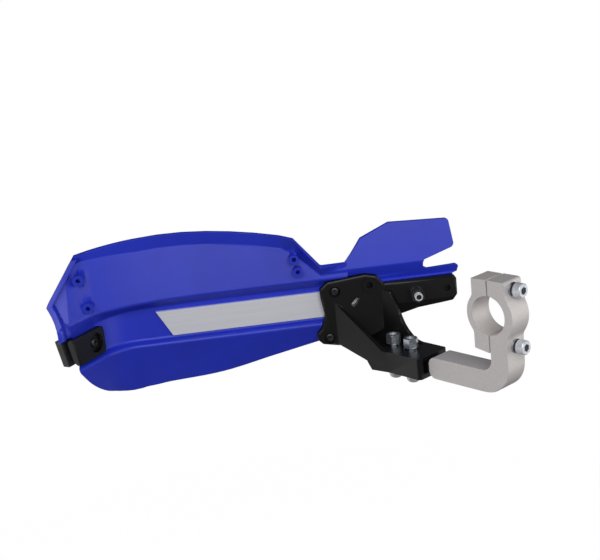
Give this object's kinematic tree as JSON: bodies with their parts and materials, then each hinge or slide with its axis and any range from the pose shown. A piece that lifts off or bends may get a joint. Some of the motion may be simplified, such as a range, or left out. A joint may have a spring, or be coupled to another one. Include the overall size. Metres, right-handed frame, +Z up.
{
  "type": "motorcycle hand guard",
  "caption": "Left hand guard for a motorcycle: a moulded shell with a stiffening plate, on a black bracket and an aluminium arm that clamps round the handlebar.",
  "frame": {"origin": "centre of the handlebar bore, midway along the clamp", "axes": "+X forward from the handlebar, +Y outboard along the handlebar, +Z up"},
  "size_m": [0.2797, 0.2777, 0.131],
  "materials": {
    "blue_plastic": "satin moulded polypropylene",
    "black_plastic": "satin glass-filled nylon",
    "plate_aluminium": "matt rolled",
    "clamp_aluminium": "bead-blasted",
    "zinc_steel": "bright zinc",
    "black_steel": "black oxide"
  },
  "bodies": {
    "root": {"guard_shell": "blue_plastic", "stiffener_plate": "plate_aluminium", "end_plug": "black_plastic", "skid_pad": "black_plastic", "end_screw": "black_steel", "mount_bracket": "black_plastic", "bracket_screws": "black_steel", "strap_bolt": "zinc_steel", "strap_washer": "black_steel", "strap_nut": "black_steel", "clamp_arm": "clamp_aluminium", "clamp_cap": "clamp_aluminium", "clamp_screws": "zinc_steel", "clamp_washers": "zinc_steel", "clamp_spring_washers": "black_steel", "arm_bolts": "zinc_steel", "arm_washers": "zinc_steel", "arm_nuts": "zinc_steel"}
  },
  "joints": []
}
